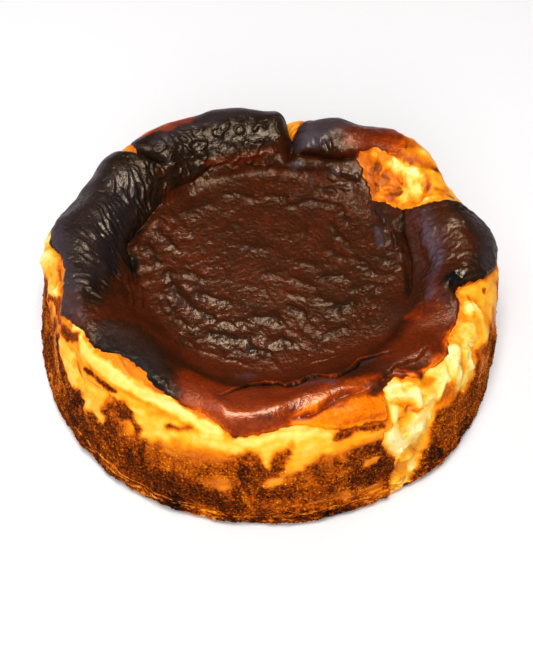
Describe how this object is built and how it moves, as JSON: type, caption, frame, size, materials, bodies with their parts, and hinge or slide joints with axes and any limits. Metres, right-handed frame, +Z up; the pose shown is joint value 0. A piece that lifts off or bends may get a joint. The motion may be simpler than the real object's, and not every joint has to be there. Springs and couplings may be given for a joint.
{
  "type": "basque burnt cheesecake",
  "caption": "Whole round baked cheesecake with a charred sunken top, swollen lobed rim, torn skin and toasted side; stands on its flat foot.",
  "frame": {"origin": "middle of the flat foot, on the surface that the cake stands on", "axes": "+Z up; the side that faces -Y is the front"},
  "size_m": [0.2322, 0.2332, 0.0672],
  "materials": {
    "cheesecake": "baked cream-cheese custard: nearly black glossy burnt skin on top, bare yellow custard at the torn rim, grainy orange-brown toasted crust down the side",
    "burnt_skin": "thin caramelised skin, dark chocolate brown to charcoal, wrinkled and blistered, satin to glossy",
    "custard": "baked custard, pale cream where torn, golden to orange-brown and grainy where it toasted against the paper"
  },
  "bodies": {
    "root": {"cheesecake": "cheesecake"}
  },
  "joints": []
}
